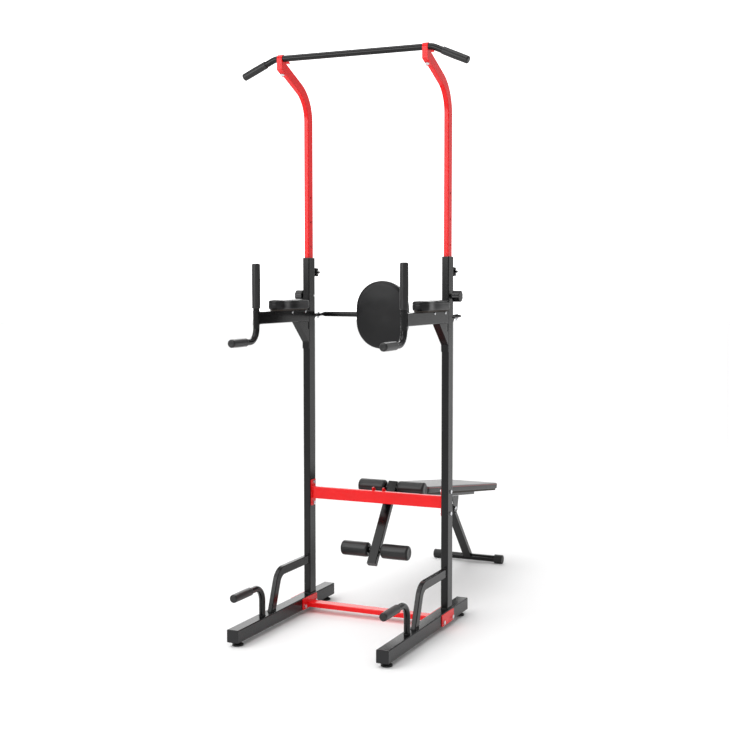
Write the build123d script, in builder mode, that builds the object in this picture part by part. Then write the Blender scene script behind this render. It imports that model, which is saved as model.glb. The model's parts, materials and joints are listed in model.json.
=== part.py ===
from build123d import *
import math
import os

# Power tower with dip arms, backrest, height-adjustable pull-up bar and a hook-on
# decline bench.  Millimetres, +Z up.  The dip arms and the pull-up bar reach out towards
# -Y, the bench runs back along +Y, and X is across the machine.  The origin lies on the
# floor in the middle of the footprint.

os.makedirs("parts", exist_ok=True)

# ------------------------------------------------------------------ driving dimensions
mast_x = 310.0            # each mast's centre plane, from the middle
mast_y = -258.8           # the masts' centre plane
sides = (-1, 1)           # left mast, right mast

rail_size = 50.0          # base rails, square tube
rail_wall = 2.0
rail_bottom = 18.0
rail_top = rail_bottom + rail_size
rail_front = -641.0       # distances marked "from the masts" are in Y from mast_y
rail_back = 180.0
foot_spots = (-605.0, 145.0)
foot_radius = 22.0
stud_radius = 5.0         # M10 studs, hinge bolts and clamp screws
running = 0.05            # radial clearance of a running fit

lower_wide, lower_deep = 30.0, 55.0      # lower uprights
upper_wide, upper_deep = 20.0, 42.0      # telescoping uprights
tube_wall = 1.5
sleeve_top = 1481.0
liner_bottom = 1300.0
slide_gap = 0.3           # liner to the telescoping tube, per side

pin_height = 1327.0
pin_radius = 4.45
hole_pitch = 101.6
hole_count = 5
clamp_height = 1425.0

upper_bottom = 1290.0
crown_bend_start = 2045.0
crown_bend = 139.0        # bend radius on the tube's axis
crown_slope = 24.5        # the crown's rise above the horizontal, degrees
crown_length = 160.0      # straight length past the bend

bar_radius = 12.7         # pull-up bar
bar_out = -235.0          # its axis, from the masts
bar_height = 2267.0
bar_bend_x = 335.0
bar_end_x = 477.0
bar_end_height = 2205.2
pull_grip_length = 113.0
pull_grip_radius = 15.5

bolt_radius = 4.0         # M8
bolt_head_across = 15.0
bolt_head_high = 5.3
nut_high = 6.5
hole_clear = 0.1

arm_wide, arm_high = 30.0, 48.0
arm_middle = 1245.0
handle_out = -447.0       # the dip handles' upright axis, from the masts
handle_radius = 12.5
handle_top = 1452.0
handle_low = 1154.0
handle_end = -637.0
handle_bend = 52.0
grip_radius = 16.5
grip_skin = 3.0           # closed end of a foam grip

backrest_axis = 90.0      # backrest bar, from the masts
backrest_height = 1248.0
backrest_bar_radius = 11.0
backrest_pad_wide, backrest_pad_high = 230.0, 282.0

bench_tilt = 7.45         # the bench falls towards the rear, degrees
bench_front, bench_front_top = 222.0, 519.0
bench_length, bench_wide = 948.0, 280.0
bench_pad_thick, bench_board_thick, bench_strap_thick = 30.0, 9.0, 3.0
bench_tube_wide, bench_tube_deep = 40.0, 25.0

roller_low = (-9.0, 276.0)       # Y from the masts, Z
roller_high = (166.0, 512.0)
roller_radius = 30.5
axle_radius = 11.0
leg_hinge = (862.0, 310.0)
foot_bar = (1120.0, 21.5)
foot_bar_radius = 16.0
foot_cap_radius = 21.5


# -------------------------------------------------------------------- shared shapes
def at(x, from_masts, z):
    """A point, with Y counted from the masts' centre plane."""
    return (x, mast_y + from_masts, z)


def side_plane(x=0.0):
    """Sketch plane seen from +X: local x runs to the rear from the masts, local y up."""
    return Plane(origin=at(x, 0, 0), x_dir=(0, 1, 0), z_dir=(1, 0, 0))


def across(x, from_masts, z, direction=1):
    """Plane facing along X."""
    return Plane(origin=at(x, from_masts, z), x_dir=(0, direction, 0), z_dir=(direction, 0, 0))


def flat_tube(points, wide, deep, wall, corner, bend=None):
    """Rectangular tube along points; wide is measured along X."""
    with BuildPart() as tube:
        with BuildLine() as route:
            if bend:
                FilletPolyline(*points, radius=bend)
            else:
                Polyline(*points)
        with BuildSketch(Plane(origin=route.line @ 0, x_dir=(1, 0, 0), z_dir=route.line % 0)):
            RectangleRounded(wide, deep, corner)
            RectangleRounded(wide - 2 * wall, deep - 2 * wall, corner - wall / 2,
                             mode=Mode.SUBTRACT)
        sweep()
    return tube.part


def round_tube(points, radius, wall, bend=None):
    """Round tube along points."""
    with BuildPart() as tube:
        with BuildLine() as route:
            if bend:
                FilletPolyline(*points, radius=bend)
            else:
                Polyline(*points)
        with BuildSketch(Plane(origin=route.line @ 0, z_dir=route.line % 0)):
            Circle(radius)
            Circle(radius - wall, mode=Mode.SUBTRACT)
        sweep()
    return tube.part


def foam_grip(mouth, length, outer, bore):
    """Foam sleeve pushed over a tube's end: open at mouth, closed and rounded at the far end."""
    with BuildPart() as grip:
        with BuildSketch(mouth):
            Circle(outer)
        extrude(amount=length)
        far_rim = grip.edges().filter_by(GeomType.CIRCLE).sort_by_distance(
            mouth.origin + mouth.z_dir * length)[0]
        fillet(far_rim, radius=3.0)
        with BuildSketch(mouth):
            Circle(bore)
        extrude(amount=length - grip_skin, mode=Mode.SUBTRACT)
    return grip.part


def hex_bolt(seat, grip, radius=bolt_radius):
    """Hexagon bolt: its head stands on seat, its shank runs back through the joint."""
    with BuildPart() as bolt:
        with BuildSketch(seat):
            RegularPolygon(bolt_head_across / 2, 6, major_radius=False)
        extrude(amount=bolt_head_high)
        with BuildSketch(seat):
            Circle(radius)
        extrude(amount=-grip)
    return bolt.part


def hex_nut(seat, radius=bolt_radius, high=nut_high, width=bolt_head_across):
    """Hexagon nut standing on seat."""
    with BuildPart() as nut:
        with BuildSketch(seat):
            RegularPolygon(width / 2, 6, major_radius=False)
            Circle(radius + running, mode=Mode.SUBTRACT)
        extrude(amount=high)
    return nut.part


def pan_screw(seat, length, radius=3.0):
    """Pan-head screw: head on seat, shank running back from it."""
    with BuildPart() as screw:
        with BuildSketch(seat):
            Circle(radius)
        extrude(amount=-length)
        with BuildSketch(seat):
            Circle(radius * 1.8)
        extrude(amount=radius)
        crown_edge = screw.edges().filter_by(GeomType.CIRCLE).sort_by(
            Axis(seat.origin, seat.z_dir))[-1]
        fillet(crown_edge, radius=radius * 0.6)
    return screw.part


def drill(seat, radius, depth):
    """Hole cut into the piece being built, running back from seat."""
    with BuildSketch(seat) as hole:
        Circle(radius)
    extrude(hole.sketch, amount=-depth, mode=Mode.SUBTRACT)


def finish(piece, label):
    """Name a finished piece and write it out."""
    piece.part.label = label
    export_step(piece.part, f"parts/{label}.step")


# ------------------------------------------------------------------ base rails and feet
floor_bar_y, floor_bar_z = -55.0, 35.0
floor_bolts = (floor_bar_y - 48, floor_bar_y + 48)
cross_plate = 3.5

for side, name in zip(sides, ("left", "right")):
    rail_x = side * mast_x
    with BuildPart() as base_rail:
        add(flat_tube((at(rail_x, rail_front, rail_bottom + rail_size / 2),
                       at(rail_x, rail_back, rail_bottom + rail_size / 2)),
                      rail_size, rail_size, rail_wall, 4.0))
        for spot in foot_spots:
            drill(Plane(at(rail_x, spot, rail_bottom + rail_wall)), stud_radius + running, 3)
        for spot in floor_bolts:
            drill(across(rail_x + rail_size / 2, spot, floor_bar_z),
                  bolt_radius + hole_clear, rail_size)
    finish(base_rail, f"{name}_base_rail")

cap_flange, cap_plug, cap_fit = 3.0, 15.0, 0.1
with BuildPart() as rail_end_caps:
    for side in sides:
        for end, outward in ((rail_front, -1), (rail_back, 1)):
            mouth = Plane(origin=at(side * mast_x, end, rail_bottom + rail_size / 2),
                          x_dir=(1, 0, 0), z_dir=(0, outward, 0))
            with BuildSketch(mouth):
                RectangleRounded(rail_size, rail_size, 4)
            extrude(amount=cap_flange)
            with BuildSketch(mouth):
                plug_side = rail_size - 2 * (rail_wall + cap_fit)
                RectangleRounded(plug_side, plug_side, 4)
            extrude(amount=-cap_plug)
finish(rail_end_caps, "rail_end_caps")

foot_rest_gap = 0.2
for side, side_name in zip(sides, ("left", "right")):
    for spot, end_name in zip(foot_spots, ("front", "rear")):
        with BuildPart() as levelling_foot:
            with BuildSketch(side_plane(side * mast_x)):
                with BuildLine():
                    Polyline((spot, 0), (spot + foot_radius, 0), (spot + foot_radius, 6),
                             (spot + 12, 12), (spot + 10, rail_bottom - foot_rest_gap),
                             (spot, rail_bottom - foot_rest_gap), close=True)
                make_face()
            revolve(axis=Axis(at(side * mast_x, spot, 0), (0, 0, 1)))
            drill(Plane(at(side * mast_x, spot, rail_bottom)), stud_radius + running, 10)
            with BuildSketch(Plane(at(side * mast_x, spot, 8.3))):
                Circle(stud_radius)
            extrude(amount=42)
        finish(levelling_foot, f"{end_name}_{side_name}_foot")

# --------------------------------------------------------------------- lower uprights
middle_bar_z = 497.5
middle_bolts = (middle_bar_z - 44, middle_bar_z + 44)
boss_radius, boss_length = 9.0, 10.0
screw_boss_length = 11.0
liner_screw_y, liner_screw_radius = 16.0, 2.5     # holds the liner, on the inner face

for side, name in zip(sides, ("left", "right")):
    upright_x = side * mast_x
    outer_face = across(upright_x + side * lower_wide / 2, 0, pin_height, side)
    rear_face = Plane(origin=at(upright_x, lower_deep / 2, clamp_height), z_dir=(0, 1, 0))
    with BuildPart() as lower_upright:
        add(flat_tube((at(upright_x, 0, rail_top), at(upright_x, 0, sleeve_top)),
                      lower_wide, lower_deep, tube_wall, 4.0))
        drill(outer_face, pin_radius + running, 5)
        drill(rear_face, stud_radius + running, 5)
        for height in middle_bolts:
            drill(across(upright_x + lower_wide / 2, 0, height),
                  bolt_radius + hole_clear, lower_wide)
        drill(across(upright_x - side * lower_wide / 2, liner_screw_y, pin_height, -side),
              liner_screw_radius + hole_clear, 3)
    finish(lower_upright, f"{name}_lower_upright")

# A plastic liner fills the sleeve around the telescoping tube.
with BuildPart() as upright_liners:
    for side in sides:
        liner_x = side * mast_x
        with BuildSketch(Plane(at(liner_x, 0, liner_bottom))):
            RectangleRounded(lower_wide - 2 * tube_wall - cap_fit,
                             lower_deep - 2 * tube_wall - cap_fit, 4)
        extrude(amount=sleeve_top - liner_bottom)
        with BuildSketch(Plane(at(liner_x, 0, sleeve_top))):
            RectangleRounded(lower_wide, lower_deep, 4)
        extrude(amount=3)
        with BuildSketch(Plane(at(liner_x, 0, liner_bottom))):
            RectangleRounded(upper_wide + 2 * slide_gap, upper_deep + 2 * slide_gap, 3)
        extrude(amount=sleeve_top - liner_bottom + 3, mode=Mode.SUBTRACT)
        drill(across(liner_x + side * lower_wide / 2, 0, pin_height, side), pin_radius + 0.1, 10)
        drill(across(liner_x - side * lower_wide / 2, liner_screw_y, pin_height, -side),
              liner_screw_radius + hole_clear, 8)
        drill(Plane(origin=at(liner_x, lower_deep / 2, clamp_height), z_dir=(0, 1, 0)),
              stud_radius + 0.1, 10)
finish(upright_liners, "upright_liners")

# Welded barrels for the height pins, and welded nuts for the clamp screws.
with BuildPart() as knob_bosses:
    for side in sides:
        barrel_seat = across(side * (mast_x + lower_wide / 2), 0, pin_height, side)
        with BuildSketch(barrel_seat):
            Circle(boss_radius)
            Circle(pin_radius + running, mode=Mode.SUBTRACT)
        extrude(amount=boss_length)
        screw_seat = Plane(origin=at(side * mast_x, lower_deep / 2, clamp_height),
                           z_dir=(0, 1, 0))
        with BuildSketch(screw_seat):
            RegularPolygon(8.5, 6, major_radius=False)
            Circle(stud_radius + running, mode=Mode.SUBTRACT)
        extrude(amount=screw_boss_length)
finish(knob_bosses, "knob_bosses")

# ------------------------------------------------------------ braces and push-up handles
brace_deep = 35.0
with BuildPart() as rail_braces:
    for side in sides:
        add(flat_tube((at(side * mast_x, -347.1, 43), at(side * mast_x, -281, 215),
                       at(side * mast_x, -lower_deep / 2, 215)),
                      20, brace_deep, tube_wall, 3.0, bend=56.0))
    split(bisect_by=Plane.XY.offset(rail_top), keep=Keep.TOP)
finish(rail_braces, "rail_braces")

push_up_y, push_up_z, push_up_end = -415.0, 186.0, -637.0
with BuildPart() as push_up_bars:
    for side in sides:
        add(round_tube((at(side * mast_x, push_up_y, rail_top),
                        at(side * mast_x, push_up_y, push_up_z),
                        at(side * mast_x, push_up_end, push_up_z)),
                       handle_radius, 2.0, bend=58.0))
finish(push_up_bars, "push_up_bars")

push_grip_length = 130.0
with BuildPart() as push_up_grips:
    for side in sides:
        mouth = Plane(origin=at(side * mast_x, push_up_end + push_grip_length - grip_skin,
                                push_up_z), z_dir=(0, -1, 0))
        add(foam_grip(mouth, push_grip_length, grip_radius, handle_radius))
finish(push_up_grips, "push_up_grips")

# ------------------------------------------------------------------------- cross bars
floor_bar_half = mast_x - rail_size / 2 - cross_plate
middle_bar_half = mast_x - lower_wide / 2 - cross_plate

with BuildPart() as floor_cross_bar:
    with BuildSketch(across(-floor_bar_half, floor_bar_y, floor_bar_z)):
        RectangleRounded(50, 20, 3)
        RectangleRounded(47, 17, 2, mode=Mode.SUBTRACT)
    extrude(amount=2 * floor_bar_half)
finish(floor_cross_bar, "floor_cross_bar")

with BuildPart() as middle_cross_bar:
    with BuildSketch(across(-middle_bar_half, 0, middle_bar_z)):
        RectangleRounded(20, 50, 3)
        RectangleRounded(17, 47, 2, mode=Mode.SUBTRACT)
    extrude(amount=2 * middle_bar_half)
finish(middle_cross_bar, "middle_cross_bar")

# Welded end plates of both bars, and the floor bar's loose backing plates outside the rails.
with BuildPart() as cross_bar_plates:
    for side in sides:
        for plate_x in (side * floor_bar_half, side * (mast_x + rail_size / 2)):
            plate = across(plate_x, floor_bar_y, 43, side)
            with BuildSketch(plate):
                RectangleRounded(130, 46, 6)
                with Locations((48, floor_bar_z - 43), (-48, floor_bar_z - 43)):
                    Circle(bolt_radius + hole_clear, mode=Mode.SUBTRACT)
            extrude(amount=cross_plate)
        with BuildSketch(across(side * middle_bar_half, 0, middle_bar_z, side)):
            RectangleRounded(40, 110, 5)
            with Locations((0, 44), (0, -44)):
                Circle(bolt_radius + hole_clear, mode=Mode.SUBTRACT)
        extrude(amount=cross_plate)
finish(cross_bar_plates, "cross_bar_plates")

# The frame's bolts and nuts, and the nuts inside the rails that the feet screw into.
with BuildPart() as frame_fasteners:
    for side in sides:
        for spot in foot_spots:
            add(hex_nut(Plane(at(side * mast_x, spot, rail_bottom + rail_wall)),
                        stud_radius, 8.0, 17.0))
        for spot in floor_bolts:
            add(hex_bolt(across(side * (mast_x + rail_size / 2 + cross_plate), spot,
                                floor_bar_z, side), rail_size + 2 * cross_plate + 9))
            add(hex_nut(across(side * floor_bar_half, spot, floor_bar_z, -side)))
        for height in middle_bolts:
            add(hex_bolt(across(side * (mast_x + lower_wide / 2), 0, height, side),
                         lower_wide + cross_plate + 9))
            add(hex_nut(across(side * middle_bar_half, 0, height, -side)))
        add(pan_screw(across(side * (mast_x - lower_wide / 2), liner_screw_y, pin_height, -side),
                      4, liner_screw_radius))
finish(frame_fasteners, "frame_fasteners")

# Ears on the middle bar that carry the bench's hook bolt.
bench_plane = Plane(origin=at(0, bench_front, bench_front_top), x_dir=(1, 0, 0),
                    z_dir=(0, math.sin(math.radians(bench_tilt)),
                           math.cos(math.radians(bench_tilt))))
beam_top = -(bench_pad_thick + bench_board_thick + bench_strap_thick)
beam_axis = beam_top - bench_tube_deep / 2
hook_pivot = bench_plane.from_local_coords((0, -167.0, beam_axis))
ear_inside, ear_thick = bench_tube_wide / 2 + 1, 4.0

with BuildPart() as bench_hook_ears:
    for side in sides:
        with BuildSketch(side_plane(side * ear_inside)):
            with BuildLine():
                Polyline((10, 474), (10, 534), (24, 534), (64, 502), (64, 474), close=True)
            make_face()
            fillet(vertices().group_by(Axis.X)[-1], radius=9)
            with Locations((hook_pivot.Y - mast_y, hook_pivot.Z)):
                Circle(stud_radius + running, mode=Mode.SUBTRACT)
        extrude(amount=side * ear_thick)
finish(bench_hook_ears, "bench_hook_ears")

# ---------------------------------------------------------------------------- dip arms
arm_plate = 4.0           # end plate that joins arm and gusset to the upright
arm_plate_past = 56.0
gusset_front, gusset_foot = -126.0, 1134.0
arm_back = -lower_deep / 2 - arm_plate
pad_screw_spots = (-177.0, -62.0)
pad_screw_height = 1262.0

with BuildPart() as dip_arms:
    for side in sides:
        arm_x = side * mast_x
        with BuildSketch(Plane(origin=at(arm_x, -lower_deep / 2, (arm_middle + gusset_foot) / 2),
                               x_dir=(1, 0, 0), z_dir=(0, -1, 0))):
            RectangleRounded(arm_wide, arm_middle - gusset_foot + arm_plate_past, 3)
        extrude(amount=arm_plate - running)
        add(flat_tube((at(arm_x, arm_back, arm_middle), at(arm_x, handle_out, arm_middle)),
                      arm_wide, arm_high, tube_wall, 3.0))
        drill(Plane(at(arm_x, handle_out, handle_top)), handle_radius, 400)
        for spot in pad_screw_spots:
            drill(across(arm_x + arm_wide / 2, spot, pad_screw_height), 3.1, arm_wide)
finish(dip_arms, "dip_arms")

gusset_wall = 2.5
with BuildPart() as dip_arm_gussets:
    for side in sides:
        left_face = side * mast_x - arm_wide / 2
        arm_under = arm_middle - arm_high / 2
        with BuildSketch(side_plane(left_face)):
            with BuildLine():
                Polyline((gusset_front, arm_under), (arm_back, arm_under),
                         (arm_back, gusset_foot), close=True)
            make_face()
        extrude(amount=arm_wide)
        with BuildSketch(side_plane(left_face + gusset_wall)):
            with BuildLine():
                Polyline((gusset_front + 5, arm_under + 1), (arm_back + 1, arm_under + 1),
                         (arm_back + 1, gusset_foot + 6), close=True)
            make_face()
        extrude(amount=arm_wide - 2 * gusset_wall, mode=Mode.SUBTRACT)
        with BuildSketch(side_plane(left_face)):
            with Locations((arm_back - 2, 1203)):
                Rectangle(9, 30)
        extrude(amount=arm_wide, mode=Mode.SUBTRACT)
finish(dip_arm_gussets, "dip_arm_gussets")

with BuildPart() as dip_handles:
    for side in sides:
        add(round_tube((at(side * mast_x, handle_out, handle_top),
                        at(side * mast_x, handle_out, handle_low),
                        at(side * mast_x, handle_end, handle_low)),
                       handle_radius, 2.0, bend=handle_bend))
finish(dip_handles, "dip_handles")

upper_grip_length, lower_grip_length = 173.0, 110.0
with BuildPart() as dip_upper_grips:
    for side in sides:
        mouth = Plane(at(side * mast_x, handle_out, handle_top + grip_skin - upper_grip_length))
        add(foam_grip(mouth, upper_grip_length, grip_radius, handle_radius))
finish(dip_upper_grips, "dip_upper_grips")

with BuildPart() as dip_lower_grips:
    for side in sides:
        mouth = Plane(origin=at(side * mast_x, handle_end - grip_skin + lower_grip_length,
                                handle_low), z_dir=(0, -1, 0))
        add(foam_grip(mouth, lower_grip_length, grip_radius, handle_radius))
finish(dip_lower_grips, "dip_lower_grips")

# Arm pads: foam pads with a rounded front and a slight waist, each on a plywood board.
pad_front, pad_back = -309.0, -52.0
pad_half, pad_waist = 36.0, 32.5
pad_bottom, pad_top, pad_board_top = 1275.0, 1314.0, 1281.0
board_inset = 6.0


def arm_pad_outline(inset):
    """Outline of an arm pad in a plan sketch centred on the arm; inset shrinks it."""
    middle = (pad_front + pad_back) / 2
    with BuildSketch() as outline:
        with BuildLine():
            ThreePointArc((pad_half, pad_front), (pad_waist, middle), (pad_half, pad_back))
            Line((pad_half, pad_back), (-pad_half, pad_back))
            ThreePointArc((-pad_half, pad_back), (-pad_waist, middle), (-pad_half, pad_front))
            Line((-pad_half, pad_front), (pad_half, pad_front))
        make_face()
        fillet(outline.vertices().group_by(Axis.Y)[0], radius=30)
        fillet(outline.vertices().group_by(Axis.Y)[-1], radius=20)
        if inset:
            offset(amount=-inset)
    return outline.sketch


with BuildPart() as arm_pads:
    for side in sides:
        with BuildSketch(Plane(at(side * mast_x, 0, pad_bottom))):
            add(arm_pad_outline(0))
        extrude(amount=pad_top - pad_bottom)
    fillet(arm_pads.faces().group_by(Axis.Z)[-1].edges(), radius=5)
    for side in sides:
        with BuildSketch(Plane(at(side * mast_x, 0, pad_bottom))):
            add(arm_pad_outline(board_inset))
        extrude(amount=pad_board_top - pad_bottom, mode=Mode.SUBTRACT)
finish(arm_pads, "arm_pads")

with BuildPart() as arm_pad_boards:
    for side in sides:
        with BuildSketch(Plane(at(side * mast_x, 0, arm_middle + arm_high / 2))):
            add(arm_pad_outline(board_inset))
        extrude(amount=pad_board_top - arm_middle - arm_high / 2)
finish(arm_pad_boards, "arm_pad_boards")

# ---------------------------------------------------------------------------- backrest
bracket_top = backrest_height - 3.0
tongue_bolt_x = 314.0
with BuildPart() as backrest_brackets:
    for side in sides:
        with BuildSketch(Plane(at(side * tongue_bolt_x, 0, bracket_top - 5))):
            with Locations((0, (lower_deep / 2 + backrest_axis + 18) / 2)):
                Rectangle(34, backrest_axis + 18 - lower_deep / 2)
            fillet(vertices().group_by(Axis.Y)[-1], radius=8)
            with Locations((0, backrest_axis)):
                Circle(bolt_radius + hole_clear, mode=Mode.SUBTRACT)
        extrude(amount=5)
        with BuildSketch(side_plane(side * tongue_bolt_x - 2)):
            with BuildLine():
                Polyline((lower_deep / 2, bracket_top - 5), (70, bracket_top - 5),
                         (lower_deep / 2, bracket_top - 40), close=True)
            make_face()
        extrude(amount=4)
finish(backrest_brackets, "backrest_brackets")

bar_half, tongue_start, tongue_end = 280.0, 302.0, 332.0
with BuildPart() as backrest_bar:
    with BuildSketch(across(-bar_half, backrest_axis, backrest_height)):
        Circle(backrest_bar_radius)
    extrude(amount=2 * bar_half)
    for side in sides:
        with BuildSketch(across(side * bar_half, backrest_axis, backrest_height)):
            Circle(backrest_bar_radius)
        with BuildSketch(across(side * tongue_start, backrest_axis, backrest_height)):
            SlotOverall(32, 6)
        loft()
        with BuildSketch(Plane(at(0, backrest_axis, bracket_top))):
            with Locations((side * (tongue_start + tongue_end) / 2, 0)):
                Rectangle(tongue_end - tongue_start, 32)
            fillet(vertices().filter_by(lambda v: abs(v.X) > tongue_start + 5), radius=13)
            with Locations((side * tongue_bolt_x, 0)):
                Circle(bolt_radius + hole_clear, mode=Mode.SUBTRACT)
        extrude(amount=6)
finish(backrest_bar, "backrest_bar")

with BuildPart() as backrest_bolts:
    for side in sides:
        add(hex_bolt(Plane(at(side * tongue_bolt_x, backrest_axis, bracket_top + 6)), 22))
        add(hex_nut(Plane(origin=at(side * tongue_bolt_x, backrest_axis, bracket_top - 5),
                          z_dir=(0, 0, -1))))
finish(backrest_bolts, "backrest_bolts")

board_back = backrest_axis - backrest_bar_radius     # the board lies against the bar
board_front = board_back - 9.0
pad_face = 38.0


def backrest_oval(inset):
    """Upright oval of the backrest, centred on the bar."""
    with BuildSketch() as oval:
        RectangleRounded(backrest_pad_wide - 2 * inset, backrest_pad_high - 2 * inset,
                         backrest_pad_wide / 2 - inset - 2)
    return oval.sketch


saddle_spots = (-60.0, 60.0)
with BuildPart() as backrest_pad:
    with BuildSketch(Plane(origin=at(0, pad_face, backrest_height), x_dir=(-1, 0, 0),
                           z_dir=(0, 1, 0))):
        add(backrest_oval(0))
    extrude(amount=board_back - 1 - pad_face)
    fillet(backrest_pad.faces().sort_by(Axis.Y)[0].edges(), radius=12)
    with BuildSketch(Plane(origin=at(0, board_front, backrest_height), x_dir=(-1, 0, 0),
                           z_dir=(0, 1, 0))):
        add(backrest_oval(8))
    extrude(amount=20, mode=Mode.SUBTRACT)
finish(backrest_pad, "backrest_pad")

with BuildPart() as backrest_board:
    with BuildSketch(Plane(origin=at(0, board_front, backrest_height), x_dir=(-1, 0, 0),
                           z_dir=(0, 1, 0))):
        add(backrest_oval(8))
    extrude(amount=board_back - board_front)
    for saddle_x in saddle_spots:
        for rise in (-26, 26):
            drill(Plane(origin=at(saddle_x, board_back, backrest_height + rise),
                        z_dir=(0, 1, 0)), 3.05, 8)
finish(backrest_board, "backrest_board")

saddle_wall = 2.5
with BuildPart() as backrest_saddles:
    for saddle_x in saddle_spots:
        with BuildSketch(side_plane(saddle_x - 12)):
            with Locations((board_back + saddle_wall / 2, backrest_height)):
                Rectangle(saddle_wall, 70)
            for radius, mode in ((backrest_bar_radius + saddle_wall, Mode.ADD),
                                 (backrest_bar_radius, Mode.SUBTRACT)):
                with Locations((backrest_axis, backrest_height)):
                    Circle(radius, mode=mode)
                with Locations(((board_back + backrest_axis) / 2, backrest_height)):
                    Rectangle(backrest_axis - board_back, 2 * radius, mode=mode)
            with Locations((board_back - 10, backrest_height)):
                Rectangle(20, 80, mode=Mode.SUBTRACT)
        extrude(amount=24)
        for rise in (-26, 26):
            drill(Plane(origin=at(saddle_x, board_back + saddle_wall, backrest_height + rise),
                        z_dir=(0, 1, 0)), 3.1, 5)
finish(backrest_saddles, "backrest_saddles")

# Pan-head screws of the arm pads and of the backrest saddles.
with BuildPart() as pad_screws:
    for side in sides:
        for spot in pad_screw_spots:
            for face in sides:
                add(pan_screw(across(side * mast_x + face * arm_wide / 2, spot,
                                     pad_screw_height, face), 12))
    for saddle_x in saddle_spots:
        for rise in (-26, 26):
            add(pan_screw(Plane(origin=at(saddle_x, board_back + saddle_wall,
                                          backrest_height + rise), z_dir=(0, 1, 0)), 9))
finish(pad_screws, "pad_screws")

# ------------------------------------------------------------- telescoping upper frame
slope = math.radians(crown_slope)
turn = math.radians(90 - crown_slope)
bend_setback = crown_bend * math.tan(turn / 2)
crown_reach = bend_setback + crown_length
crown_corner = crown_bend_start + bend_setback
bend_end_y = -bend_setback * math.cos(slope)
bend_end_z = crown_corner + bend_setback * math.sin(slope)


def crown_plane(x):
    """Sketch plane of a crown: local x along the sloping tube from the end of its bend."""
    return Plane(origin=at(x, bend_end_y, bend_end_z),
                 x_dir=(0, -math.cos(slope), math.sin(slope)), z_dir=(-1, 0, 0))


bar_in_crown = crown_plane(0).to_local_coords(Vector(*at(0, bar_out, bar_height)))
clamp_bolt_along = 145.0
strap_wide, strap_thick = 22.0, 3.0
strap_back = 124.0
strap_level = bar_in_crown.Y + bar_radius        # underside of the strap's upper leg
crown_half = upper_deep / 2


def crown_bolt_seat(x, along, up, facing=1):
    """Plane across the sloping tube, facing up (1) or down (-1) from it."""
    plane = crown_plane(x)
    return Plane(origin=plane.from_local_coords((along, up, 0)), x_dir=plane.x_dir,
                 z_dir=plane.y_dir * facing)


for side, name in zip(sides, ("left", "right")):
    tube_x = side * mast_x
    with BuildPart() as upper_upright:
        add(flat_tube((at(tube_x, 0, upper_bottom), at(tube_x, 0, crown_corner),
                       at(tube_x, -crown_reach * math.cos(slope),
                          crown_corner + crown_reach * math.sin(slope))),
                      upper_wide, upper_deep, tube_wall, 3.0, bend=crown_bend))
        for step in range(hole_count):
            drill(across(tube_x + upper_wide / 2, 0, pin_height + step * hole_pitch),
                  pin_radius + 0.1, upper_wide)
        drill(crown_bolt_seat(tube_x, clamp_bolt_along, crown_half + 1),
              bolt_radius + hole_clear, upper_deep + 2)
    finish(upper_upright, f"{name}_upper_upright")

glide_flange_wide, glide_flange_deep = lower_wide - 2 * tube_wall - 0.6, 51.4
with BuildPart() as glide_plugs:
    for side in sides:
        with BuildSketch(Plane(at(side * mast_x, 0, upper_bottom - 6))):
            RectangleRounded(glide_flange_wide, glide_flange_deep, 3)
        extrude(amount=6)
        with BuildSketch(Plane(at(side * mast_x, 0, upper_bottom))):
            RectangleRounded(upper_wide - 2 * tube_wall - cap_fit,
                             upper_deep - 2 * tube_wall - cap_fit, 3)
        extrude(amount=20)
finish(glide_plugs, "glide_plugs")

with BuildPart() as pull_up_bar:
    add(round_tube(((-bar_end_x, mast_y + bar_out, bar_end_height),
                    (-bar_bend_x, mast_y + bar_out, bar_height),
                    (bar_bend_x, mast_y + bar_out, bar_height),
                    (bar_end_x, mast_y + bar_out, bar_end_height)),
                   bar_radius, 2.0, bend=60.0))
finish(pull_up_bar, "pull_up_bar")

bar_droop = math.atan2(bar_height - bar_end_height, bar_end_x - bar_bend_x)
with BuildPart() as pull_up_grips:
    for side in sides:
        outward = Vector(side * math.cos(bar_droop), 0, -math.sin(bar_droop))
        tip = Vector(*at(side * bar_end_x, bar_out, bar_end_height)) + outward * grip_skin
        mouth = Plane(origin=tip - outward * pull_grip_length, x_dir=(0, 1, 0), z_dir=outward)
        add(foam_grip(mouth, pull_grip_length, pull_grip_radius, bar_radius))
finish(pull_up_grips, "pull_up_grips")

# Each clamp is a strap bent around the bar and the tube's end, over a saddle block.
front_touch = bar_in_crown + Vector(math.cos(slope), -math.sin(slope)) * bar_radius
front_drop = (front_touch.Y + crown_half) / math.cos(slope)
front_foot = (front_touch.X - front_drop * math.sin(slope), -crown_half)


def clamp_loop():
    """Space inside the strap, in a crown's sketch plane."""
    with BuildSketch() as loop:
        with BuildLine():
            Polyline((strap_back - 30, strap_level), (strap_back - 30, -crown_half), front_foot,
                     (front_touch.X, front_touch.Y))
            RadiusArc((front_touch.X, front_touch.Y), (bar_in_crown.X, strap_level),
                      -bar_radius)
            Line((bar_in_crown.X, strap_level), (strap_back - 30, strap_level))
        make_face()
    return loop.sketch


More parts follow.
